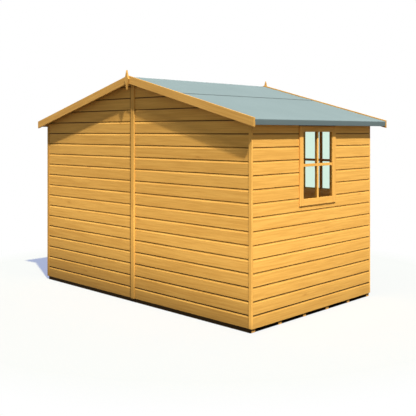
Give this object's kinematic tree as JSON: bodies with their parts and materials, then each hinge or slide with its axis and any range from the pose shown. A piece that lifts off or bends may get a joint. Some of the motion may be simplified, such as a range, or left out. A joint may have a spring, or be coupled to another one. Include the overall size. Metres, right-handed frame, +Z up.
{
  "type": "wooden garden shed",
  "caption": "Timber garden shed with shiplap walls, a low apex roof in mineral felt with bargeboards and finials, paned windows and double doors, on floor bearers.",
  "frame": {"origin": "on the ground under the middle of the roof, ridge line above it", "axes": "+X across the gables towards the pictured window wall, -Y out of the blank rear gable, +Y out of the gable with the doors, +Z up"},
  "size_m": [3.154, 2.079, 2.217],
  "materials": {
    "cladding": "planed softwood shiplap with a honey-coloured dip treatment",
    "trim_timber": "planed softwood with a honey-coloured dip treatment",
    "frame_timber": "sawn softwood with a honey-coloured dip treatment",
    "floor_timber": "softwood boards and sawn bearers",
    "roof_boards": "softwood boards",
    "roofing_felt": "bitumen felt with pale grey-green mineral granules",
    "window_glass": "clear sheet with a faint green tint",
    "ironwork": "black painted steel"
  },
  "bodies": {
    "root": {"rear_left_panel": "cladding", "rear_right_panel": "cladding", "left_wall_panel": "cladding", "right_wall_panel": "cladding", "front_left_panel": "cladding", "front_right_panel": "cladding", "front_head_panel": "cladding", "left_door": "cladding", "right_door": "cladding", "rear_centre_strip": "trim_timber", "corner_strips": "trim_timber", "left_bargeboards": "trim_timber", "right_bargeboards": "trim_timber", "finials": "trim_timber", "left_window_frame": "trim_timber", "right_window_frame": "trim_timber", "front_left_window_frame": "trim_timber", "front_right_window_frame": "trim_timber", "door_buttons": "trim_timber", "rear_studs": "frame_timber", "rear_rails": "frame_timber", "left_studs": "frame_timber", "left_rails": "frame_timber", "right_studs": "frame_timber", "right_rails": "frame_timber", "front_studs": "frame_timber", "front_rails": "frame_timber", "door_ledges": "frame_timber", "door_braces": "frame_timber", "eave_battens": "frame_timber", "left_verge_battens": "frame_timber", "right_verge_battens": "frame_timber", "purlins": "frame_timber", "ridge_beam": "frame_timber", "floor_bearers": "floor_timber", "floor_deck": "floor_timber", "left_roof_boards": "roof_boards", "right_roof_boards": "roof_boards", "left_felt": "roofing_felt", "right_felt": "roofing_felt", "ridge_felt": "roofing_felt", "window_glass": "window_glass", "door_hinges": "ironwork"}
  },
  "joints": []
}
